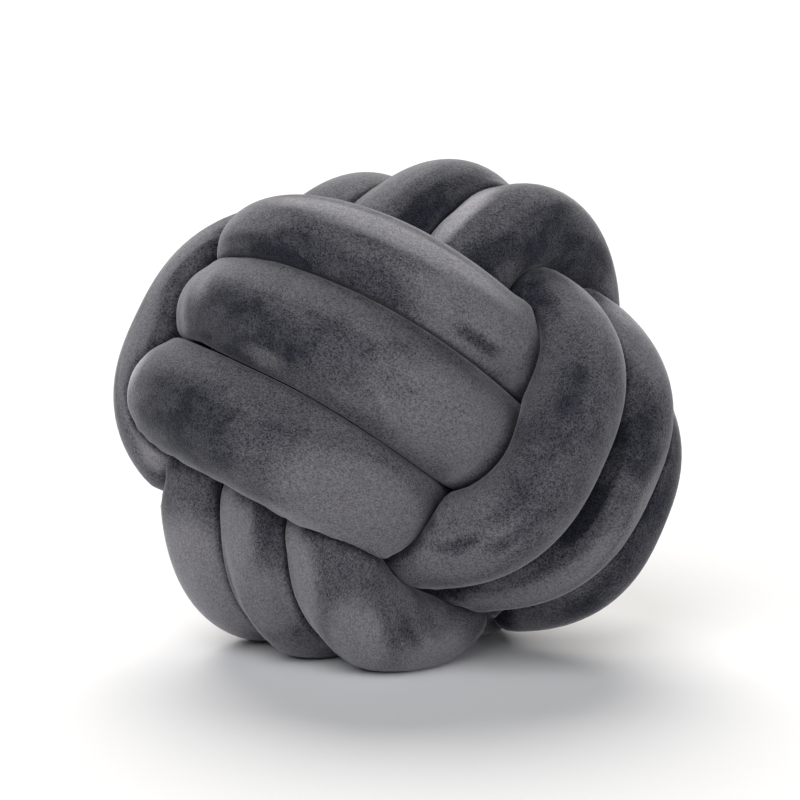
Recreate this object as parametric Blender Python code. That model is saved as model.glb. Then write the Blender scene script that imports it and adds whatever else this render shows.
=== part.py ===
"""Knotted ball cushion: one long stuffed tube, tied as a three-turn monkey's fist.

The knot has nine turns in three groups, each group wound square to the other two.
Each turn shows as one strand on a face of the ball and one on the opposite face,
and between them it dives under the strands of the neighbouring group.
The ball is one filled solid that lies on three strands of its underside and one behind them.
"""

import math
from collections import namedtuple

import bmesh
import bpy
from mathutils import Euler, Vector

# Driving sizes, in metres.
PITCH = 0.044           # middle to middle of two strands that lie side by side
TUBE_RADIUS = 0.54 * PITCH
CORE_RADIUS = 1.85 * PITCH  # the stuffed middle, which closes the clefts between the strands
SAG = 0.007             # how far the soft underside is pressed flat by the ball's weight

# How the ball lies, in degrees: tipped back, rolled, then turned about the vertical.
TIPPED = -28.5
ROLLED = 12.0
TURNED = -30.0

# How finely the tube is faceted.
STATIONS = 48           # along one turn
SECTION_RESOLUTION = 6  # sixteen sides round the tube
MERGE_DISTANCE = 1.0e-5

PLUSH_GREY = (0.090, 0.092, 0.108, 1.0)
PLUSH_ROUGHNESS = 0.95

FRONT = Vector((0.0, -1.0, 0.0))
RIGHT = Vector((1.0, 0.0, 0.0))
TOP = Vector((0.0, 0.0, 1.0))

# A group's turns rise towards "out", run along "run" and lie side by side along "beside".
# The squareness is that of the loop: 2 is an ellipse, more has fuller corners.
Group = namedtuple("Group", "out run beside squareness")
GROUPS = {
    "front": Group(FRONT, RIGHT, TOP, 2.2),
    "side": Group(RIGHT, TOP, FRONT, 2.85),
    "top": Group(TOP, FRONT, RIGHT, 2.0),
}

# One row for each turn. It shows as a near strand on its group's first face and a far strand
# on the opposite face. All but the group and the taper are in pitches of the tube.
# fore, aft: how far the turn reaches along its run and against it.
# place: where the strand lies beside its neighbours.  slant: how far it drifts along its run.
# bow: how far its middle arches sideways.  height: how far it stands out.
# shift: how far it is off centre along its run.
# girth: how fat it is, where 1 is the plain tube.  taper: how much fatter towards the run's end.
Strand = namedtuple("Strand", "place slant bow height shift girth taper")
Turn = namedtuple("Turn", "group fore aft near far")
TURNS = (
    Turn("front", 1.75, 1.80,
         Strand(1.00, 0.05, 0.25, 2.10, -0.30, 0.95, -0.05),
         Strand(0.95, -0.10, 0.00, 2.40, 0.00, 1.08, 0.00)),
    Turn("front", 1.80, 1.75,
         Strand(0.00, -0.15, 0.15, 2.10, -0.35, 1.22, -0.10),
         Strand(-0.15, -0.10, -0.05, 2.42, 0.00, 1.10, 0.00)),
    Turn("front", 1.80, 1.70,
         Strand(-1.15, -0.25, -0.05, 1.90, -0.60, 1.23, -0.10),
         Strand(-1.30, -0.10, -0.20, 2.40, 0.00, 1.12, -0.05)),
    Turn("side", 1.75, 1.60,
         Strand(0.35, -0.15, 0.25, 2.55, 0.05, 1.06, 0.00),
         Strand(0.85, -0.20, 0.15, 2.58, -0.15, 1.04, 0.00)),
    Turn("side", 1.80, 1.80,
         Strand(-0.40, -0.10, -0.10, 2.95, 0.10, 0.82, 0.25),
         Strand(-0.10, -0.20, 0.05, 2.50, 0.05, 1.08, 0.00)),
    Turn("side", 1.60, 1.60,
         Strand(-1.30, 0.15, 0.05, 2.90, -0.05, 0.92, 0.15),
         Strand(-1.20, -0.15, 0.05, 2.45, 0.00, 1.08, 0.00)),
    Turn("top", 1.70, 1.65,
         Strand(-1.00, -0.20, -0.05, 2.20, -0.10, 1.04, 0.00),
         Strand(-1.05, -0.45, 0.10, 2.70, -0.20, 1.08, 0.00)),
    Turn("top", 1.60, 1.60,
         Strand(-0.05, -0.35, 0.00, 2.65, -0.05, 1.08, 0.00),
         Strand(-0.10, -0.50, 0.15, 2.80, -0.05, 0.90, 0.00)),
    Turn("top", 1.10, 1.50,
         Strand(1.00, -0.50, 0.00, 2.60, 0.00, 1.15, 0.05),
         Strand(0.80, -0.55, 0.30, 2.55, 0.15, 1.12, 0.00)),
)
BLEND = 0.6             # share of a strand's height over which near and far merge into each other


def clear_scene():
    for thing in list(bpy.data.objects):
        bpy.data.objects.remove(thing, do_unlink=True)


def middle_line(turn):
    """The points of a turn's middle line with the girth there, at even angles round its loop."""
    group = GROUPS[turn.group]
    power = group.squareness
    line = []
    for station in range(STATIONS):
        angle = 2.0 * math.pi * station / STATIONS
        out = math.cos(angle)
        run = math.sin(angle)
        height = turn.near.height if out > 0.0 else turn.far.height
        reach = turn.fore if run > 0.0 else turn.aft
        size = (abs(out / height) ** power + abs(run / reach) ** power) ** (-1.0 / power)
        rise = math.copysign(abs(size * out / height) ** (power / 2.0), out)
        along = math.copysign(abs(size * run / reach) ** (power / 2.0), run)
        share = min(max((rise + BLEND) / (2.0 * BLEND), 0.0), 1.0)
        share = share * share * (3.0 - 2.0 * share)
        here = Strand(*(share * near + (1.0 - share) * far for near, far in zip(turn.near, turn.far)))
        beside = here.place + here.slant * along + here.bow * (1.0 - along * along)
        point = group.out * (size * out) + group.run * (size * run + here.shift) + group.beside * beside
        line.append((point * PITCH, here.girth * (1.0 + here.taper * along)))
    return line


def mesh_of(thing):
    """The mesh of an object with its bevel or modifiers applied."""
    depsgraph = bpy.context.evaluated_depsgraph_get()
    return bpy.data.meshes.new_from_object(thing.evaluated_get(depsgraph))


def add_turn(number, turn, collection):
    """One closed turn of the stuffed tube, as a guide for the union."""
    curve = bpy.data.curves.new("turn_%d" % number, "CURVE")
    curve.dimensions = "3D"
    curve.bevel_depth = TUBE_RADIUS
    curve.bevel_resolution = SECTION_RESOLUTION
    line = middle_line(turn)
    spline = curve.splines.new("POLY")
    spline.points.add(len(line) - 1)
    for spot, (point, girth) in zip(spline.points, line):
        spot.co = (*point, 1.0)
        spot.radius = girth
    spline.use_cyclic_u = True
    rope = bpy.data.objects.new("turn_%d" % number, curve)
    bpy.context.scene.collection.objects.link(rope)
    ring = bpy.data.objects.new("ring_%d" % number, mesh_of(rope))
    ring.hide_render = True
    ring.display_type = "WIRE"
    collection.objects.link(ring)
    bpy.data.objects.remove(rope, do_unlink=True)


def knot_mesh():
    """All turns joined with the stuffing between them, as one mesh."""
    rings = bpy.data.collections.new("rings")
    bpy.context.scene.collection.children.link(rings)
    for number, turn in enumerate(TURNS, start=1):
        add_turn(number, turn, rings)

    ball = bmesh.new()
    bmesh.ops.create_icosphere(ball, subdivisions=3, radius=CORE_RADIUS)
    core_mesh = bpy.data.meshes.new("core")
    ball.to_mesh(core_mesh)
    ball.free()
    core = bpy.data.objects.new("core", core_mesh)
    bpy.context.scene.collection.objects.link(core)
    union = core.modifiers.new("union", "BOOLEAN")
    union.operation = "UNION"
    union.solver = "EXACT"
    union.operand_type = "COLLECTION"
    union.collection = rings

    joined = mesh_of(core)
    for guide in [core, *rings.objects]:
        bpy.data.objects.remove(guide, do_unlink=True)
    bpy.data.collections.remove(rings)
    return joined


def shells(mesh):
    """The faces of each separate closed shell of a bmesh."""
    left = set(mesh.faces)
    found = []
    while left:
        reached = [left.pop()]
        for face in reached:
            for edge in face.edges:
                for other in edge.link_faces:
                    if other in left:
                        left.discard(other)
                        reached.append(other)
        found.append(reached)
    return found


def fill_inside(mesh):
    """Fill every hollow between the strands, by removing all shells but the outer one."""
    parts = sorted(shells(mesh), key=lambda faces: sum(face.calc_area() for face in faces))
    inner = [face for faces in parts[:-1] for face in faces]
    bmesh.ops.delete(mesh, geom=inner, context="FACES")


def lay_down(mesh):
    """Turn the ball as it lies, press its underside flat and put the origin below its middle."""
    lie = Euler([math.radians(angle) for angle in (TIPPED, ROLLED, TURNED)], "XYZ").to_matrix()
    bmesh.ops.rotate(mesh, cent=(0.0, 0.0, 0.0), matrix=lie, verts=mesh.verts)
    floor = min(vert.co.z for vert in mesh.verts) + SAG
    everything = [*mesh.verts, *mesh.edges, *mesh.faces]
    bmesh.ops.bisect_plane(
        mesh, geom=everything, dist=MERGE_DISTANCE,
        plane_co=(0.0, 0.0, floor), plane_no=TOP, clear_inner=True)
    rim = [edge for edge in mesh.edges if edge.is_boundary]
    bmesh.ops.holes_fill(mesh, edges=rim, sides=0)
    spread_x = [vert.co.x for vert in mesh.verts]
    spread_y = [vert.co.y for vert in mesh.verts]
    middle = Vector((max(spread_x) + min(spread_x), max(spread_y) + min(spread_y), 2.0 * floor)) / 2.0
    bmesh.ops.translate(mesh, vec=-middle, verts=mesh.verts)


def plush():
    material = bpy.data.materials.new("plush")
    material.use_nodes = True
    shader = material.node_tree.nodes["Principled BSDF"]
    shader.inputs["Base Color"].default_value = PLUSH_GREY
    shader.inputs["Roughness"].default_value = PLUSH_ROUGHNESS
    shader.inputs["Metallic"].default_value = 0.0
    material.diffuse_color = PLUSH_GREY
    return material


def add_cushion():
    data = knot_mesh()
    mesh = bmesh.new()
    mesh.from_mesh(data)
    bmesh.ops.remove_doubles(mesh, verts=mesh.verts, dist=MERGE_DISTANCE)
    bmesh.ops.dissolve_degenerate(mesh, edges=mesh.edges, dist=MERGE_DISTANCE)
    fill_inside(mesh)
    lay_down(mesh)
    bmesh.ops.recalc_face_normals(mesh, faces=mesh.faces)
    mesh.to_mesh(data)
    mesh.free()
    data.name = "knot_cushion"
    data.shade_smooth()
    data.set_sharp_from_angle(angle=math.radians(40.0))
    data.materials.clear()
    data.materials.append(plush())
    cushion = bpy.data.objects.new("knot_cushion", data)
    bpy.context.scene.collection.objects.link(cushion)
    return cushion


clear_scene()
add_cushion()
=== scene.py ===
"""Knotted ball cushion: one long stuffed plush tube, tied as a three-turn monkey's fist.

The knot has nine turns in three groups, each group wound square to the other two. Each turn
is a closed tube of the same cloth. The strands press flat against each other where they meet
and swell where they are free, and the ball lies on the pressed underside of four of them.
"""

import math
from collections import namedtuple

import bmesh
import bpy
import numpy as np
from mathutils import Euler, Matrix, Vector


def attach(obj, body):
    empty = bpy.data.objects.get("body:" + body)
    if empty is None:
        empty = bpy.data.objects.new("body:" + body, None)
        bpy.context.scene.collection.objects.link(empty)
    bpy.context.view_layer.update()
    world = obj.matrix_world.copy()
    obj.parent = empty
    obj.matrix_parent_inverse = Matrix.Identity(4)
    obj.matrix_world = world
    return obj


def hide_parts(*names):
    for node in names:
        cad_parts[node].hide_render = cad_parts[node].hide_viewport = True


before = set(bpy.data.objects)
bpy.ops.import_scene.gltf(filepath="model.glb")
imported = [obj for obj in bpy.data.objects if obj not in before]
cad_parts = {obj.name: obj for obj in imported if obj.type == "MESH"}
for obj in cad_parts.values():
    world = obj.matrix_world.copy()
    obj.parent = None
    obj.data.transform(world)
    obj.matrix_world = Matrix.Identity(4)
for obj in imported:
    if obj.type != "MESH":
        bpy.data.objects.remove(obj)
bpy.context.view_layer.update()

bl_info = {
    "name": "Knotted ball cushion",
    "version": (1, 0, 0),
    "blender": (4, 5, 0),
    "location": "View3D > Sidebar > Cushion",
    "description": "Adds a plush tube tied as a ball, and a plain studio to show it in",
    "category": "Add Mesh",
}

# The knot's own directions, before the ball is laid down.
FRONT = np.array((0.0, -1.0, 0.0))
RIGHT = np.array((1.0, 0.0, 0.0))
TOP = np.array((0.0, 0.0, 1.0))

# A group's turns rise towards "out", run along "run" and lie side by side along "beside".
# The squareness is that of the loop: 2 is an ellipse, more has fuller corners.
Group = namedtuple("Group", "out run beside squareness")
GROUPS = {
    "front": Group(FRONT, RIGHT, TOP, 2.2),
    "side": Group(RIGHT, TOP, FRONT, 2.85),
    "top": Group(TOP, FRONT, RIGHT, 2.0),
}

# One row for each turn. It shows as a near strand on its group's first face and a far strand
# on the opposite face. Distances are in pitches of the tube; girth and taper are shares.
# fore, aft: how far the turn reaches along its run and against it.
# place: where the strand lies beside its neighbours.  slant: how far it drifts along its run.
# bow: how far its middle arches sideways.  height: how far it stands out.
# shift: how far it is off centre along its run.
# girth: how fat it is, where 1 is the plain tube.  taper: how much fatter towards the run's end.
Strand = namedtuple("Strand", "place slant bow height shift girth taper")
Turn = namedtuple("Turn", "group fore aft near far")
TURNS = (
    Turn("front", 1.80, 1.83,
         Strand(0.97, 0.02, 0.26, 2.10, -0.30, 0.99, 0.00),
         Strand(1.10, -0.10, 0.10, 2.44, 0.00, 1.24, 0.00)),
    Turn("front", 1.89, 1.75,
         Strand(-0.02, -0.17, 0.15, 2.08, -0.35, 1.24, 0.00),
         Strand(-0.15, -0.10, -0.05, 2.42, 0.00, 1.10, 0.00)),
    Turn("front", 1.72, 1.76,
         Strand(-1.12, -0.255, -0.05, 1.91, -0.62, 1.275, 0.00),
         Strand(-1.30, -0.10, -0.20, 2.40, 0.00, 1.12, -0.05)),
    Turn("side", 1.67, 1.68,
         Strand(0.33, -0.15, 0.25, 2.55, 0.08, 1.06, 0.01),
         Strand(0.85, -0.20, 0.15, 2.57, -0.11, 1.04, 0.00)),
    Turn("side", 1.80, 1.90,
         Strand(-0.40, -0.10, -0.10, 2.95, 0.10, 0.82, 0.25),
         Strand(-0.10, -0.20, 0.05, 2.50, 0.05, 1.08, 0.00)),
    Turn("side", 1.60, 1.60,
         Strand(-1.30, 0.15, 0.05, 2.90, -0.05, 0.92, 0.15),
         Strand(-1.20, -0.15, 0.05, 2.45, 0.00, 1.08, 0.00)),
    Turn("top", 1.70, 1.65,
         Strand(-1.00, -0.20, -0.05, 2.20, -0.10, 1.04, 0.00),
         Strand(-1.00, -0.45, 0.10, 2.70, -0.20, 1.06, 0.00)),
    Turn("top", 1.60, 1.60,
         Strand(-0.05, -0.35, 0.00, 2.65, -0.05, 1.08, 0.00),
         Strand(-0.10, -0.51, 0.17, 2.80, -0.05, 0.90, 0.04)),
    Turn("top", 1.10, 1.50,
         Strand(1.00, -0.50, 0.00, 2.60, 0.00, 1.15, 0.05),
         Strand(0.80, -0.60, 0.33, 2.55, 0.15, 1.12, 0.12)),
)
BLEND = 0.6             # share of a strand's height over which near and far merge into each other

# Strokes of tone laid one over another: brushed nap that hands have left in the pile, and painted light:
# painted highlights on lit tops and rims, painted shade in creases and under strands.
# turn: the number of its turn in TURNS.  along: millimetres from the turn's hidden seam.
# side: degrees round from the strand's crown.  length, width: its size, in millimetres and degrees.
# tone: 0 is dark pile, 1 is light pile; tones above 1 are painted highlights.
Stroke = namedtuple("Stroke", "turn along side length width tone")
STROKES = (
    Stroke(0, 110, -45, 90, 90, 0.08),
    Stroke(0, 112, -50, 64, 30, 0.02),
    Stroke(0, 95, 5, 50, 40, 0.55),
    Stroke(0, 165, -45, 50, 60, 0.14),
    Stroke(0, 215, -10, 75, 150, 0.70),
    # Painted highlight: the top edge, where the light from behind falls.
    Stroke(0, 160, 35, 120, 34, 1.50),
    Stroke(0, 252, -40, 24, 70, 1.10),
    Stroke(0, 215, -33, 22, 18, 0.12),
    Stroke(1, 110, -35, 95, 80, 0.07),
    Stroke(1, 73, -30, 8, 44, 0.90),
    Stroke(1, 84, 10, 10, 40, 0.90),
    Stroke(1, 130, -52, 18, 24, 0.55),
    Stroke(1, 155, -12, 24, 26, 0.10),
    Stroke(1, 125, 34, 110, 36, 0.60),
    Stroke(1, 165, -20, 30, 90, 0.24),
    Stroke(1, 215, -15, 75, 100, 0.71),
    Stroke(1, 186, -12, 16, 24, 0.45),
    Stroke(1, 166, 20, 16, 20, 0.68),
    Stroke(1, 173, -53, 16, 20, 0.55),
    Stroke(1, 244, -55, 20, 50, 1.00),
    Stroke(1, 220, 56, 80, 30, 0.22),
    Stroke(2, 105, -34, 78, 96, 0.05),
    Stroke(2, 76, -5, 14, 80, 0.34),
    Stroke(2, 64, 4, 10, 70, 2.40),
    # Painted shadow on the underside near the floor.
    Stroke(2, 318, -50, 70, 70, 0.00),
    Stroke(2, 110, 42, 80, 30, 0.48),
    Stroke(2, 150, -20, 25, 110, 0.33),
    Stroke(2, 195, -30, 70, 110, 0.75),
    Stroke(2, 185, -76, 50, 24, 0.95),
    Stroke(2, 195, 42, 70, 30, 0.44),
    Stroke(3, 92, 45, 50, 60, 0.68),
    Stroke(3, 95, 95, 50, 50, 0.54),
    Stroke(3, 155, 70, 70, 130, 0.27),
    Stroke(3, 183, 75, 26, 40, 0.13),
    Stroke(3, 90, 61, 22, 16, 0.20),
    Stroke(3, 112, 40, 24, 20, 0.30),
    Stroke(3, 218, 40, 34, 60, 0.50),
    Stroke(3, 232, 12, 22, 36, 1.00),
    Stroke(3, 262, 60, 28, 150, 0.03),
    # Painted shade in the crease under the top strand.
    Stroke(3, 244, 82, 36, 44, 0.06),
    Stroke(3, 445, 60, 60, 30, 0.95),
    Stroke(3, 505, 70, 80, 40, 0.90),
    Stroke(3, 455, 102, 40, 30, 0.32),
    Stroke(3, 565, 75, 50, 60, 1.10),
    Stroke(4, 120, 30, 80, 44, 0.76),
    Stroke(4, 115, 80, 70, 36, 0.28),
    Stroke(4, 200, 50, 44, 80, 0.15),
    Stroke(4, 180, 45, 14, 40, 0.42),
    # Painted shade in the crease with the next strand.
    Stroke(4, 172, 84, 80, 34, 0.02),
    Stroke(4, 175, 0, 50, 24, 0.70),
    Stroke(4, 250, 30, 44, 80, 0.70),
    # Painted highlight: the top rim, where the light from behind falls.
    Stroke(4, 265, 15, 24, 60, 1.30),
    Stroke(5, 100, 25, 42, 50, 0.50),
    Stroke(5, 78, 20, 24, 90, 0.00),
    Stroke(5, 150, 15, 80, 70, 0.05),
    Stroke(5, 205, 10, 24, 60, 0.15),
    Stroke(6, 180, 0, 70, 50, 0.64),
    Stroke(6, 350, 0, 30, 130, 0.34),
    Stroke(6, 400, 0, 70, 130, 1.02),
    Stroke(6, 442, 10, 24, 100, 0.55),
    Stroke(7, 205, -20, 70, 50, 0.72),
    Stroke(7, 205, 42, 80, 40, 0.03),
    Stroke(7, 395, -20, 60, 70, 0.95),
    Stroke(7, 385, 36, 34, 40, 0.10),
    Stroke(7, 428, 25, 34, 80, 0.80),
    Stroke(7, 470, 10, 40, 110, 0.60),
    Stroke(8, 150, 75, 80, 90, 0.04),
    Stroke(8, 150, 112, 90, 40, 0.00),
    Stroke(8, 188, 36, 56, 50, 0.16),
    Stroke(8, 184, 22, 30, 30, 0.42),
    Stroke(8, 142, 56, 26, 40, 0.34),
    Stroke(8, 158, 20, 30, 30, 0.40),
    # Painted highlight on the top, where the light from behind falls.
    Stroke(8, 196, -22, 44, 36, 2.00),
    Stroke(8, 110, 85, 20, 70, 0.55),
    Stroke(8, 380, -30, 50, 60, 1.00),
    Stroke(8, 380, 40, 26, 50, 0.36),
    Stroke(8, 410, 25, 30, 70, 1.02),
    Stroke(8, 408, 95, 40, 50, 0.45),
    Stroke(8, 442, 70, 36, 90, 0.95),
    Stroke(8, 419, 84, 16, 20, 0.10),
    Stroke(8, 436, 105, 26, 12, 0.40),
    Stroke(8, 478, 80, 26, 120, 0.12),
)
PLAIN_TONE = 0.36       # the pile where no stroke has been left

STROKE_REACH = 1.25     # where a stroke has faded out, in half sizes from its middle
STROKE_FADE = 0.5       # how softly it fades, in half sizes
# Painted shade: the pile's colour is darkened near a neighbour, where shade falls in a crease.
CREASE_SHADE = 0.85          # share of its tone that the pile loses where it is crushed in a crease

# How the ball lies, in degrees: tipped back, rolled, then turned about the vertical.
TIPPED = -28.5
ROLLED = 12.0
TURNED = -30.0
LIE = Euler([math.radians(angle) for angle in (TIPPED, ROLLED, TURNED)], "XYZ")

# How the tubes are divided.
FINE = 1440             # steps along a loop before its stations are spread
PROBES = 160            # points along a loop that stand for it when another strand meets it
HALVINGS = 14           # steps in the search for where two strands meet
SEAM_ANGLE = -0.5 * math.pi  # a turn begins and ends on a leg hidden inside the ball
CROWDING = 2.2          # how much closer the stations are where a turn shows
SHOULDER = 68.0         # degrees from the crown to the shoulder, where strands meet
SHOULDER_WIDTH = 26.0   # degrees
INNER_START = 105.0     # degrees from the crown to where the inner side begins
INNER_EASE = 35.0       # degrees over which it begins
SHOULDER_MORE = 0.7     # share by which the sides are closer together at the shoulder
INNER_LESS = 0.55       # share by which they are further apart on the inner side

# How the cloth presses on its neighbours, in softnesses unless another unit is named.
FURTHEST_WALL = 1.6     # in pitches: past this a neighbour is not looked for
BEND_SHARE = 0.85       # share of the way to a bend's middle at which the cloth gathers
OVERFILL = 1.8          # how far past its neighbour a strand that closes a gap would reach
CLOSING_END = 1.3       # in closing gaps: past this a strand doesn't swell to its neighbour
TUCK = 0.06             # how far two pressed strands run into each other
THINNEST = 0.2          # share of its radius below which no strand is pressed
FLOOR_GIVE = 0.002      # metres over which the edge of a flat spot rounds off

# Where the cloth is held still while the stuffing pushes it out. Each has a band over which the
# hold comes on: near a neighbour, on the inner side and on the hidden legs.
HOLD_GAP = 0.10         # gap to the neighbour, as a share of the tube's radius
HOLD_GAP_BAND = 0.16
HOLD_CROWN = 0.15       # cosine of the angle from the crown
HOLD_CROWN_BAND = 0.4
HOLD_RISE = 0.45        # share of the strand's height
HOLD_RISE_BAND = 0.25

# How the stuffing pushes the cloth out.
SWELL_FRAMES = 12
CLOTH_QUALITY = 5
CLOTH_MASS = 0.05       # kilograms on each corner
CLOTH_STIFFNESS = 5.0
CLOTH_BENDING = 0.1

# How the pile looks.
CLOUD_SIZE = 0.026      # metres
SMUDGE_SIZE = 0.008     # metres
SMUDGE_STRETCH = (0.7, 1.0, 1.0)  # smudges are longer along the tube
CLOUDINESS = 0.36       # how much the clouds and smudges change the nap
# Painted sheen: the base colour is made lighter where the surface is seen edge on.
PAINTED_EDGE_SHEEN = 0.3        # how much lighter the pile is where it is seen edge on
TUFT_CONTRAST = 2.4     # how much tufts differ on dark pile
TUFT_FADING = 1.9       # how much less they differ on light pile
TUFT_LEAST = 0.8        # the least that they differ
PLUSH_ROUGHNESS = 0.9
PLUSH_SPECULAR = 0.2
SHEEN_ROUGHNESS = 0.42
SHEEN_TINT = (0.95, 0.96, 1.0, 1.0)
BUMP_STRENGTH = 0.8
BUMP_DISTANCE = 0.0009  # metres

FLOOR_SIZE = 6.0        # metres from its middle to an edge
FLOOR_ROUGHNESS = 0.8
FLOOR_SPECULAR = 0.1
FLOOR_WHITE = (0.955, 0.955, 0.965, 1.0)
WARM_WHITE = (1.0, 0.975, 0.93)
COOL_WHITE = (0.975, 0.985, 1.0)
SURROUND = 0.05         # brightness of the room itself

# Each light's bearing from the front and its height, in degrees.
Aim = namedtuple("Aim", "bearing height")
BACK_AIM = Aim(187.0, 42.0)
LEFT_AIM = Aim(-32.0, 46.0)
RIGHT_AIM = Aim(45.0, 12.0)

CAMERA_TILT = math.radians(10.0)
CAMERA_DISTANCE = 45.0  # in pitches of the tube
CAMERA_SHIFT = (0.0134, 0.0089)
SENSOR_WIDTH = 36.0     # millimetres
CAMERA_RANGE = (0.1, 30.0)  # the nearest and furthest that it sees, in metres

PITCH = 0.044           # metres, middle to middle of two strands side by side
RADIUS_SHARE = 0.54     # the plain tube's radius, in pitches


class KnotSettings(bpy.types.PropertyGroup):
    """Sizes of the knotted tube."""

    pitch: bpy.props.FloatProperty(
        name="Pitch", description="Middle to middle of two strands side by side",
        default=PITCH, min=0.01, unit="LENGTH")
    radius: bpy.props.FloatProperty(
        name="Tube Radius", description="Radius of the plain stuffed tube",
        default=RADIUS_SHARE * PITCH, min=0.005, unit="LENGTH")
    sag: bpy.props.FloatProperty(
        name="Sag", description="How far the underside is pressed flat by the ball's weight",
        default=0.007, min=0.0, unit="LENGTH")
    stations: bpy.props.IntProperty(
        name="Stations", description="Divisions along one turn", default=72, min=24)
    sides: bpy.props.IntProperty(
        name="Sides", description="Divisions round the tube, in fours", default=36, min=12)
    stuffing: bpy.props.FloatProperty(
        name="Stuffing", description="How much fuller the tube is than its plain size",
        default=1.02, min=0.8, max=1.2)
    softness: bpy.props.FloatProperty(
        name="Softness", description="How widely a strand rounds off before it meets another",
        default=0.0032, min=0.0002, unit="LENGTH")
    closing: bpy.props.FloatProperty(
        name="Closing", description="The widest gap that two strands swell to close between them",
        default=0.005, min=0.0, unit="LENGTH")
    # How far from a neighbour the painted crease shade reaches.
    crease: bpy.props.FloatProperty(
        name="Crease", description="How far from a neighbour the pile is crushed dark",
        default=0.005, min=0.0001, unit="LENGTH")
    swell: bpy.props.FloatProperty(
        name="Swell", description="The most that the free cloth may swell out",
        default=0.0015, min=0.0, unit="LENGTH")
    pressure: bpy.props.FloatProperty(
        name="Pressure", description="Pressure of the stuffing on the cloth", default=80.0, min=0.0)


class PlushSettings(bpy.types.PropertyGroup):
    """Colours and pile of the plush."""

    light: bpy.props.FloatVectorProperty(
        name="Light Nap", description="Pile that is brushed light",
        default=(0.206, 0.201, 0.220), size=3, min=0.0, max=1.0, subtype="COLOR")
    dark: bpy.props.FloatVectorProperty(
        name="Dark Nap", description="Pile that is brushed dark",
        default=(0.011, 0.012, 0.022), size=3, min=0.0, max=1.0, subtype="COLOR")
    sheen: bpy.props.FloatProperty(
        name="Sheen", description="Strength of the pile's soft shine",
        default=0.4, min=0.0, max=1.0, subtype="FACTOR")
    pile: bpy.props.FloatProperty(
        name="Pile", description="Size of one tuft", default=0.0006, min=0.0001, unit="LENGTH")


class StudioSettings(bpy.types.PropertyGroup):
    """Lights and camera of the studio."""

    back: bpy.props.FloatProperty(
        name="Back Light", description="Strength of the broad light above and behind",
        default=3.35, min=0.0)
    left: bpy.props.FloatProperty(
        name="Left Light", description="Strength of the broad light at the front left",
        default=1.55, min=0.0)
    right: bpy.props.FloatProperty(
        name="Right Light", description="Strength of the low light at the front right",
        default=0.85, min=0.0)
    softness: bpy.props.FloatProperty(
        name="Light Softness", description="How broad each light looks from the cushion",
        default=math.radians(50.0), min=0.0, max=math.pi, subtype="ANGLE")
    lens: bpy.props.FloatProperty(
        name="Lens", description="Focal length in millimetres", default=165.2, min=20.0)


def settings():
    """The scene's settings for the knot, the plush and the studio."""
    scene = bpy.context.scene
    return scene.cushion_knot, scene.cushion_plush, scene.cushion_studio


# ---------------------------------------------------------------- the path of the tube


def ease(share):
    """A share between 0 and 1, eased in and out."""
    share = np.clip(share, 0.0, 1.0)
    return share * share * (3.0 - 2.0 * share)


def spread(count, where, density):
    """Positions spread round a closed span, closer together where the density is high."""
    steps = 0.5 * (density[1:] + density[:-1]) * np.diff(where)
    measure = np.concatenate(((0.0,), np.cumsum(steps)))
    return np.interp(np.arange(count) * measure[-1] / count, measure, where)


def loop(turn, angles, pitch):
    """Middle line, girth and rise of a turn at some angles round its loop."""
    group = GROUPS[turn.group]
    out = np.cos(angles)
    run = np.sin(angles)
    height = np.where(out > 0.0, turn.near.height, turn.far.height)
    reach = np.where(run > 0.0, turn.fore, turn.aft)
    power = group.squareness
    size = (np.abs(out / height) ** power + np.abs(run / reach) ** power) ** (-1.0 / power)
    rise = np.sign(out) * np.abs(size * out / height) ** (power / 2.0)
    along = np.sign(run) * np.abs(size * run / reach) ** (power / 2.0)
    share = ease((rise + BLEND) / (2.0 * BLEND))[:, None]
    here = Strand(*(share * np.array(turn.near) + (1.0 - share) * np.array(turn.far)).T)
    beside = here.place + here.slant * along + here.bow * (1.0 - along ** 2)
    points = np.outer(size * out, group.out) + np.outer(size * run + here.shift, group.run)
    points = points + np.outer(beside, group.beside)
    return points * pitch, here.girth * (1.0 + here.taper * along), rise


def even_angles(turn, pitch, count, crowding):
    """Angles spread evenly along a turn's length, and crowded by this factor where it shows."""
    angles = SEAM_ANGLE + np.linspace(0.0, 2.0 * math.pi, FINE + 1)
    points, _, rise = loop(turn, angles, pitch)
    pace = np.linalg.norm(np.diff(points, axis=0), axis=1) * FINE / (2.0 * math.pi)
    pace = np.concatenate((pace, pace[:1]))
    return spread(count, angles, pace * (1.0 + (crowding - 1.0) * ease(np.abs(rise) * 2.0)))


def side_angles(count):
    """Angles round the tube from its inner side, crowded at the shoulders where strands meet."""
    from_crown = np.linspace(-math.pi, math.pi, FINE + 1)
    away = np.abs(from_crown)
    shoulder = np.exp(-((away - math.radians(SHOULDER)) / math.radians(SHOULDER_WIDTH)) ** 2)
    inner = ease((away - math.radians(INNER_START)) / math.radians(INNER_EASE))
    return spread(count, from_crown, 1.0 + SHOULDER_MORE * shoulder - INNER_LESS * inner)


def tube_frame(points, beside):
    """Directions along, across and out of a closed tube at each station."""
    along = np.roll(points, -1, axis=0) - np.roll(points, 1, axis=0)
    along /= np.linalg.norm(along, axis=1)[:, None]
    across = beside - (along @ beside)[:, None] * along
    across /= np.linalg.norm(across, axis=1)[:, None]
    out = np.cross(across, along)
    out *= np.sign((out * points).sum(axis=1))[:, None]
    return along, across, out


# ---------------------------------------------------------------- the shape of the cloth


def excess(spots, centres, radii):
    """How far spots are outside the nearest of some other tubes, less that tube's radius."""
    spots = spots.astype(np.float32)
    centres = centres.astype(np.float32)
    squares = (spots ** 2).sum(axis=1)[:, None] + (centres ** 2).sum(axis=1)[None]
    squares = squares - 2.0 * spots @ centres.T
    return (np.sqrt(np.maximum(squares, 0.0)) - radii.astype(np.float32)).min(axis=1)


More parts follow.
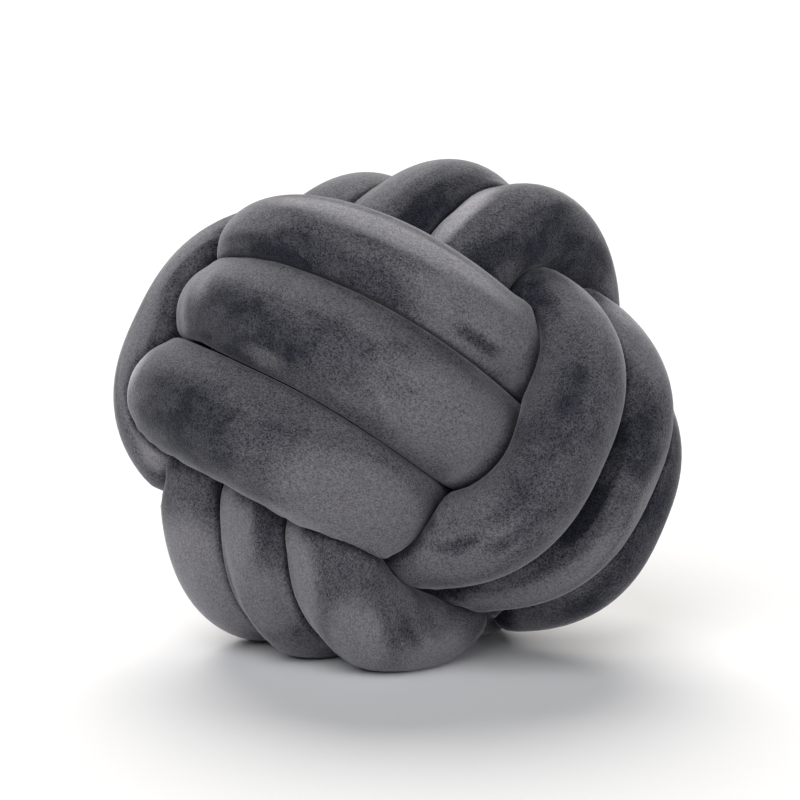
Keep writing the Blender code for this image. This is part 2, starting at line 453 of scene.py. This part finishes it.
def wall_distance(middle, rays, radius, centres, radii, furthest):
    """How far along each ray the tube meets the others, or furthest where it meets none."""
    stations, sides, _ = rays.shape
    origin = np.repeat(middle, sides, axis=0)
    heading = rays.reshape(-1, 3)
    own = np.repeat(radius, sides)
    low = np.zeros(len(origin))
    high = np.full(len(origin), furthest)
    for _ in range(HALVINGS):
        half = 0.5 * (low + high)
        free = (half - own) < excess(origin + heading * half[:, None], centres, radii)
        low = np.where(free, half, low)
        high = np.where(free, high, half)
    return (0.5 * (low + high)).reshape(stations, sides)


def bend_towards(points, rays):
    """How sharply the tube bends towards each ray, as one over the distance to the bend's middle."""
    ahead = np.roll(points, -1, axis=0) - points
    behind = points - np.roll(points, 1, axis=0)
    ahead_length = np.linalg.norm(ahead, axis=1)[:, None]
    behind_length = np.linalg.norm(behind, axis=1)[:, None]
    bend = 2.0 * (ahead / ahead_length - behind / behind_length) / (ahead_length + behind_length)
    return np.maximum(np.einsum("ijk,ik->ij", rays, bend), 1.0e-6)


def pressed_reach(knot, radius, wall):
    """How far the cloth reaches along each ray, how far it would reach, and its gap to the wall."""
    soft = knot.softness
    full = np.broadcast_to((radius * knot.stuffing)[:, None], wall.shape)
    gap = np.maximum(wall - full, 0.0)
    full = full + np.maximum(wall + OVERFILL * soft - full, 0.0) * ease(CLOSING_END - gap / knot.closing)
    reach = -soft * np.logaddexp(-full / soft, -wall / soft - TUCK)
    return np.maximum(reach, THINNEST * radius[:, None]), full, gap


def tube_shapes(knot):
    """For each turn, the corners of its pressed cloth, how hard it is pressed, and its tone: brushed nap
    with painted highlights and painted shade.
    """
    pitch = knot.pitch
    probes = []
    for turn in TURNS:
        points, girth, _ = loop(turn, even_angles(turn, pitch, PROBES, 1.0), pitch)
        probes.append((points, girth * knot.radius))

    around = side_angles(knot.sides)
    shapes = []
    for number, turn in enumerate(TURNS):
        points, girth, rise = loop(turn, even_angles(turn, pitch, knot.stations, CROWDING), pitch)
        _, across, out = tube_frame(points, GROUPS[turn.group].beside)
        rays = np.cos(around)[None, :, None] * out[:, None]
        rays = rays + np.sin(around)[None, :, None] * across[:, None]
        radius = girth * knot.radius

        others = [probe for index, probe in enumerate(probes) if index != number]
        centres = np.concatenate([probe[0] for probe in others])
        radii = np.concatenate([probe[1] for probe in others])
        wall = wall_distance(points, rays, radius, centres, radii, FURTHEST_WALL * pitch)
        wall = np.minimum(wall, BEND_SHARE / bend_towards(points, rays))
        reach, full, gap = pressed_reach(knot, radius, wall)

        steps = np.linalg.norm(np.diff(points, axis=0), axis=1)
        length = np.concatenate(((0.0,), np.cumsum(steps)))
        # Painted shade in the creases: tone is taken away near a neighbour, where shade falls.
        shaded = CREASE_SHADE * ease(1.0 - gap / knot.crease)

        # "straight" is the tube laid out straight, a metre on for each turn, for the pile to follow.
        shapes.append({
            "corners": points[:, None] + rays * reach[..., None],
            "pressed": full - wall,
            "rise": np.broadcast_to(rise[:, None], reach.shape),
            "crown": np.broadcast_to(np.cos(around), reach.shape),
            "straight": np.stack((
                np.broadcast_to(length[:, None], reach.shape) + number,
                np.broadcast_to(radius[:, None], reach.shape) * np.cos(around),
                np.broadcast_to(radius[:, None], reach.shape) * np.sin(around)), axis=-1),
            "nap_and_painted_light": brushed_tone_and_painted_light(number, length, around) * (1.0 - shaded),
        })
    return shapes


def brushed_tone_and_painted_light(number, length, around):
    """How light the pile of a turn is, brushed nap with painted highlights and painted shade, by its
    length from the seam and its sides.
    """
    tone = np.full((len(length), len(around)), PLAIN_TONE)
    for stroke in STROKES:
        if stroke.turn == number:
            along = (length * 1000.0 - stroke.along) / (0.5 * stroke.length)
            across = (np.degrees(around) - stroke.side) / (0.5 * stroke.width)
            away = np.hypot(along[:, None], across[None, :])
            share = ease((STROKE_REACH - away) / STROKE_FADE)
            tone += share * (stroke.tone - tone)
    return tone


def resting_shift(knot):
    """The floor and the middle of the plain tubes as they lie, which give the ball its origin."""
    turned = np.array(LIE.to_matrix())
    lows = []
    highs = []
    for turn in TURNS:
        points, girth, _ = loop(turn, even_angles(turn, knot.pitch, FINE // 4, 1.0), knot.pitch)
        along, _, _ = tube_frame(points, GROUPS[turn.group].beside)
        points = points @ turned.T
        along = along @ turned.T
        half = (girth * knot.radius)[:, None] * np.sqrt(np.maximum(1.0 - along ** 2, 0.0))
        lows.append((points - half).min(axis=0))
        highs.append((points + half).max(axis=0))
    low = np.min(lows, axis=0)
    high = np.max(highs, axis=0)
    return np.array((0.5 * (low[0] + high[0]), 0.5 * (low[1] + high[1]), low[2] + knot.sag))


def rest_on_floor(places, give):
    """Presses everything under the floor flat, and rounds the edge of the flat over this height."""
    height = places[:, 2]
    rounded = (height + give) ** 2 / (4.0 * give)
    places[:, 2] = np.where(height > give, height, np.where(height < -give, 0.0, rounded))
    return places


def add_ring(mesh, stations, sides):
    """A plain closed tube, wound round the vertical, whose corners are moved afterwards."""
    before = set(mesh.verts)
    made = bmesh.ops.create_circle(mesh, segments=sides, radius=0.3)
    upright = Euler((math.pi / 2, 0, 0)).to_matrix()
    bmesh.ops.rotate(mesh, verts=made["verts"], cent=(0, 0, 0), matrix=upright)
    bmesh.ops.translate(mesh, verts=made["verts"], vec=(1.0, 0.0, 0.0))
    rim = [edge for edge in mesh.edges if edge.verts[0] not in before]
    bmesh.ops.spin(
        mesh, geom=made["verts"] + rim, cent=(0, 0, 0), axis=(0, 0, 1), angle=2.0 * math.pi,
        steps=stations, use_merge=True, use_normal_flip=False, use_duplicate=False)
    return [vert for vert in mesh.verts if vert not in before]


def grid_place(vert, stations, sides):
    """Which station and side of a plain ring this corner is."""
    turned = math.atan2(vert.co.y, vert.co.x) / (2.0 * math.pi)
    around = math.atan2(vert.co.z, math.hypot(vert.co.x, vert.co.y) - 1.0) / (2.0 * math.pi)
    return round(turned * stations) % stations, round(around * sides) % sides


def add_stuffing(turn, pressure):
    """Puts the Cloth modifier on one turn: pressure from inside, and no gravity."""
    cloth = turn.modifiers.new("stuffing", "CLOTH")
    cloth.collision_settings.use_collision = False
    cloth.settings.use_pressure = True
    cloth.settings.uniform_pressure_force = pressure
    cloth.settings.effector_weights.gravity = 0.0
    cloth.settings.vertex_group_mass = "hold"
    cloth.settings.quality = CLOTH_QUALITY
    cloth.settings.mass = CLOTH_MASS
    cloth.settings.tension_stiffness = CLOTH_STIFFNESS
    cloth.settings.compression_stiffness = CLOTH_STIFFNESS
    cloth.settings.shear_stiffness = CLOTH_STIFFNESS
    cloth.settings.bending_stiffness = CLOTH_BENDING


def swell(places, hold, knot):
    """Lets the stuffing's pressure swell one turn's free cloth, and keeps it within its limit."""
    mesh = bmesh.new()
    add_ring(mesh, knot.stations, knot.sides)
    data = bpy.data.meshes.new("turn")
    mesh.to_mesh(data)
    mesh.free()
    data.vertices.foreach_set("co", places.ravel())
    turn_outwards(data)
    turn = bpy.data.objects.new("turn", data)
    scene = bpy.context.scene
    scene.collection.objects.link(turn)
    group = turn.vertex_groups.new(name="hold")
    for index, weight in enumerate(hold):
        group.add([index], float(weight), "REPLACE")
    add_stuffing(turn, knot.pressure)
    for step in range(1, SWELL_FRAMES + 1):
        scene.frame_set(step)
    swollen = turn.evaluated_get(bpy.context.evaluated_depsgraph_get()).data
    moved = np.array([vert.co for vert in swollen.vertices]) - places
    bpy.data.objects.remove(turn)
    bpy.data.meshes.remove(data)
    scene.frame_set(1)
    length = np.linalg.norm(moved, axis=1)
    capped = knot.swell * np.tanh(length / knot.swell)
    return places + moved * (capped / np.maximum(length, 1.0e-9))[:, None]


def held_still(shape, rows, columns, radius):
    """How firmly each corner is held: where it is pressed, on the inner side or on a hidden leg."""
    pressed = ease((shape["pressed"][rows, columns] / radius + HOLD_GAP) / HOLD_GAP_BAND)
    inner = ease((HOLD_CROWN - shape["crown"][rows, columns]) / HOLD_CROWN_BAND)
    leg = ease((HOLD_RISE - np.abs(shape["rise"][rows, columns])) / HOLD_RISE_BAND)
    return np.maximum(np.maximum(pressed, inner), leg)


def make_knot(knot):
    """The nine pressed and swollen turns as one object, at rest."""
    shapes = tube_shapes(knot)
    shift = resting_shift(knot)
    turned = np.array(LIE.to_matrix())
    mesh = bmesh.new()
    places = []
    straight = []
    nap_and_painted_light = []
    for shape in shapes:
        ring = add_ring(mesh, knot.stations, knot.sides)
        spots = [grid_place(vert, knot.stations, knot.sides) for vert in ring]
        rows, columns = np.array(spots).T
        here = shape["corners"][rows, columns]
        straight.append(shape["straight"][rows, columns])
        nap_and_painted_light.append(shape["nap_and_painted_light"][rows, columns])
        if knot.swell > 0.0:
            here = swell(here, held_still(shape, rows, columns, knot.radius), knot)
        places.append(here)
    data = bpy.data.meshes.new("plush_knot")
    mesh.to_mesh(data)
    mesh.free()

    places = rest_on_floor(np.concatenate(places) @ turned.T - shift, FLOOR_GIVE)
    data.vertices.foreach_set("co", places.ravel())
    attribute = data.attributes.new("straight", "FLOAT_VECTOR", "POINT")
    attribute.data.foreach_set("vector", np.concatenate(straight).ravel())
    attribute = data.attributes.new("nap_and_painted_light", "FLOAT", "POINT")
    attribute.data.foreach_set("value", np.concatenate(nap_and_painted_light))
    turn_outwards(data)
    cushion = bpy.data.objects.new("plush_knot", data)
    bpy.context.scene.collection.objects.link(cushion)
    data.update()
    data.shade_smooth()
    smooth = cushion.modifiers.new("smooth", "SUBSURF")
    smooth.levels = 1
    smooth.render_levels = 1
    return cushion


def turn_outwards(data):
    """Points every face away from the middle of its own tube."""
    mesh = bmesh.new()
    mesh.from_mesh(data)
    bmesh.ops.recalc_face_normals(mesh, faces=mesh.faces)
    mesh.to_mesh(data)
    mesh.free()


# ---------------------------------------------------------------- materials


class Flow:
    """A value that flows through a material's nodes, so that node maths reads as arithmetic."""

    def __init__(self, kit, socket):
        self.kit = kit
        self.socket = socket

    def math(self, operation, *values):
        return self.kit.node("ShaderNodeMath", {"operation": operation}, dict(enumerate(values)))

    def at_least(self, low):
        """This value, but no lower than this."""
        return self.math("MAXIMUM", self, low)

    def __add__(self, other):
        return self.math("ADD", self, other)

    def __radd__(self, other):
        return self.math("ADD", other, self)

    def __sub__(self, other):
        return self.math("SUBTRACT", self, other)

    def __rsub__(self, other):
        return self.math("SUBTRACT", other, self)

    def __mul__(self, other):
        return self.math("MULTIPLY", self, other)

    def __rmul__(self, other):
        return self.math("MULTIPLY", other, self)


class Finish:
    """A new material whose nodes are added one at a time."""

    def __init__(self, name):
        self.material = bpy.data.materials.new(name)
        self.material.use_nodes = True
        self.nodes = self.material.node_tree.nodes
        self.links = self.material.node_tree.links
        self.shader = self.nodes["Principled BSDF"]

    def node(self, kind, options=None, values=None, output=None):
        """Adds a node, sets its options first and then its sockets, and gives one output."""
        made = self.nodes.new(kind)
        for option, setting in (options or {}).items():
            setattr(made, option, setting)
        usable = [socket for socket in made.inputs if socket.enabled]
        for key, value in (values or {}).items():
            by_name = not isinstance(key, int)
            self.fill(next(s for s in usable if s.name == key) if by_name else usable[key], value)
        outputs = [socket for socket in made.outputs if socket.enabled]
        chosen = next(s for s in outputs if s.name == output) if output else outputs[0]
        return Flow(self, chosen)

    def fill(self, socket, value):
        """Links a value to a socket, or sets a constant on it."""
        if isinstance(value, Flow):
            self.links.new(value.socket, socket)
        else:
            socket.default_value = value

    def noise(self, place, size, detail, roughness, distortion=0.0):
        """Cloudy noise of about this size in metres, from 0 to 1."""
        return self.node("ShaderNodeTexNoise", {"noise_dimensions": "3D"}, {
            "Vector": place, "Scale": 1.0 / size, "Detail": detail, "Roughness": roughness,
            "Distortion": distortion}, "Fac")

    def between(self, value, low, high):
        """0 below low, 1 above high, and eased between them."""
        return self.node("ShaderNodeMapRange", {"interpolation_type": "SMOOTHSTEP"}, {
            "Value": value, "From Min": low, "From Max": high})

    def mix(self, share, first, second):
        """A colour between two others."""
        return self.node("ShaderNodeMix", {"data_type": "RGBA", "clamp_factor": False}, {
            0: share, "A": first, "B": second}, "Result")

    def stretch(self, place, scale):
        """A place with its three parts scaled."""
        return self.node("ShaderNodeVectorMath", {"operation": "MULTIPLY"}, {0: place, 1: scale})

    def feed(self, name, value):
        """Sets or feeds one of the shader's own sockets."""
        self.fill(self.shader.inputs[name], value)


def plush_finish(plush):
    """Short-pile plush: tone in soft patches (brushed nap, painted highlights and painted shade), a
    painted sheen on edges seen edge on, fine tufts and a soft sheen.
    """
    kit = Finish("plush_pile")
    straight = kit.node("ShaderNodeAttribute", {"attribute_name": "straight"}, output="Vector")
    stroked = kit.node("ShaderNodeAttribute", {"attribute_name": "nap_and_painted_light"}, output="Fac")
    clouds = kit.noise(straight, CLOUD_SIZE, detail=4.0, roughness=0.62, distortion=0.2)
    stretched = kit.stretch(straight, SMUDGE_STRETCH)
    smudges = kit.noise(stretched, SMUDGE_SIZE, detail=3.0, roughness=0.65)
    tufts = kit.node("ShaderNodeTexVoronoi", {}, {"Vector": straight, "Scale": 1.0 / plush.pile}, "Color")
    # Painted sheen: where the surface is seen edge on, the base colour is made lighter.
    facing = kit.node("ShaderNodeLayerWeight", {}, {"Blend": 0.5}, "Facing")
    edge_on = kit.between(facing, 0.6, 1.0)

    # Cloudiness shows most on dark pile.
    cloudy = kit.between(clouds, 0.42, 0.58) * 0.5 + smudges * 0.5 - 0.5
    nap_and_painted_light = stroked + cloudy * CLOUDINESS * (1.05 - stroked).at_least(0.15) + edge_on * PAINTED_EDGE_SHEEN
    nap_and_painted_light = nap_and_painted_light.at_least(0.0)
    colour = kit.mix(nap_and_painted_light, (*plush.dark, 1.0), (*plush.light, 1.0))

    # Each tuft is a little lighter or darker than the next, and more so on dark pile.
    contrast = (TUFT_CONTRAST - TUFT_FADING * nap_and_painted_light).at_least(TUFT_LEAST)
    shade = 1.0 + (tufts - 0.5) * contrast
    shade = shade.at_least(0.0)
    grey = kit.node("ShaderNodeCombineColor", {}, {0: shade, 1: shade, 2: shade})
    tufted = kit.node(
        "ShaderNodeMix", {"data_type": "RGBA", "blend_type": "MULTIPLY"},
        {0: 1.0, "A": colour, "B": grey}, "Result")
    kit.feed("Base Color", tufted)
    kit.feed("Roughness", PLUSH_ROUGHNESS)
    kit.feed("Specular IOR Level", PLUSH_SPECULAR)
    kit.feed("Sheen Weight", plush.sheen)
    kit.feed("Sheen Roughness", SHEEN_ROUGHNESS)
    kit.feed("Sheen Tint", SHEEN_TINT)
    kit.feed("Normal", kit.node("ShaderNodeBump", {}, {
        "Strength": BUMP_STRENGTH, "Distance": BUMP_DISTANCE,
        "Height": tufts * 0.3 + smudges * 0.8}, "Normal"))
    return kit.material


def floor_finish():
    """Plain white board."""
    kit = Finish("studio_floor")
    kit.feed("Base Color", FLOOR_WHITE)
    kit.feed("Roughness", FLOOR_ROUGHNESS)
    kit.feed("Specular IOR Level", FLOOR_SPECULAR)
    return kit.material


# ---------------------------------------------------------------- the operators


class CUSHION_OT_tie_knot(bpy.types.Operator):
    """Add the knotted plush ball in place of its plain solid"""

    bl_idname = "cushion.tie_knot"
    bl_label = "Tie Plush Knot"

    def execute(self, context):
        knot, plush, _ = settings()
        cushion = make_knot(knot)
        cushion.data.materials.append(plush_finish(plush))
        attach(cushion, "root")
        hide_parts("knot_cushion")
        return {"FINISHED"}


def add_broad_light(name, aim, strength, softness, colour):
    """A broad, even studio light."""
    data = bpy.data.lights.new(name, "SUN")
    data.energy = strength
    data.angle = softness
    data.color = colour
    light = bpy.data.objects.new(name, data)
    light.rotation_euler = (math.radians(90.0 - aim.height), 0.0, math.radians(aim.bearing))
    bpy.context.scene.collection.objects.link(light)


def add_floor():
    """The plain board under the cushion."""
    mesh = bmesh.new()
    bmesh.ops.create_grid(mesh, x_segments=1, y_segments=1, size=FLOOR_SIZE)
    data = bpy.data.meshes.new("studio_floor")
    mesh.to_mesh(data)
    mesh.free()
    data.materials.append(floor_finish())
    floor = bpy.data.objects.new("studio_floor", data)
    bpy.context.scene.collection.objects.link(floor)


def add_room(scene):
    """The faint light of the room itself, against a plain white view."""
    world = bpy.data.worlds.new("studio")
    world.use_nodes = True
    back = world.node_tree.nodes["Background"]
    back.inputs["Color"].default_value = (1.0, 1.0, 1.0, 1.0)
    back.inputs["Strength"].default_value = SURROUND
    scene.world = world
    scene.view_settings.view_transform = "Standard"


def add_camera(scene, knot, lens):
    """A camera a little above the cushion's middle, tilted down at it."""
    data = bpy.data.cameras.new("camera")
    data.lens = lens
    data.sensor_width = SENSOR_WIDTH
    data.shift_x, data.shift_y = CAMERA_SHIFT
    data.clip_start, data.clip_end = CAMERA_RANGE
    camera = bpy.data.objects.new("camera", data)
    centre = Vector(-resting_shift(knot))
    away = Vector((0.0, -math.cos(CAMERA_TILT), math.sin(CAMERA_TILT)))
    camera.location = centre + CAMERA_DISTANCE * knot.pitch * away
    camera.rotation_euler = (math.pi / 2.0 - CAMERA_TILT, 0.0, 0.0)
    scene.collection.objects.link(camera)
    scene.camera = camera


class CUSHION_OT_add_stage(bpy.types.Operator):
    """Add the floor, the lights and the camera"""

    bl_idname = "cushion.add_stage"
    bl_label = "Add Stage"

    def execute(self, context):
        knot, _, studio = settings()
        add_floor()
        add_broad_light("back_light", BACK_AIM, studio.back, studio.softness, WARM_WHITE)
        add_broad_light("left_light", LEFT_AIM, studio.left, studio.softness, COOL_WHITE)
        add_broad_light("right_light", RIGHT_AIM, studio.right, studio.softness, COOL_WHITE)
        add_room(context.scene)
        add_camera(context.scene, knot, studio.lens)
        return {"FINISHED"}


class CUSHION_PT_panel(bpy.types.Panel):
    """The cushion's settings and steps"""

    bl_idname = "CUSHION_PT_panel"
    bl_label = "Knotted Cushion"
    bl_space_type = "VIEW_3D"
    bl_region_type = "UI"
    bl_category = "Cushion"

    def draw(self, context):
        layout = self.layout
        for group in settings():
            box = layout.box()
            for name in group.__annotations__:
                box.prop(group, name)
        for operator in OPERATORS:
            layout.operator(operator.bl_idname)


OPERATORS = (CUSHION_OT_tie_knot, CUSHION_OT_add_stage)
CLASSES = (KnotSettings, PlushSettings, StudioSettings, *OPERATORS, CUSHION_PT_panel)
GROUP_NAMES = {
    "cushion_knot": KnotSettings,
    "cushion_plush": PlushSettings,
    "cushion_studio": StudioSettings,
}


def register():
    for item in CLASSES:
        bpy.utils.register_class(item)
    for name, group in GROUP_NAMES.items():
        setattr(bpy.types.Scene, name, bpy.props.PointerProperty(type=group))


def unregister():
    for name in GROUP_NAMES:
        delattr(bpy.types.Scene, name)
    for item in reversed(CLASSES):
        bpy.utils.unregister_class(item)


def main():
    register()
    bpy.ops.cushion.tie_knot()
    bpy.ops.cushion.add_stage()


if __name__ == "__main__":
    main()
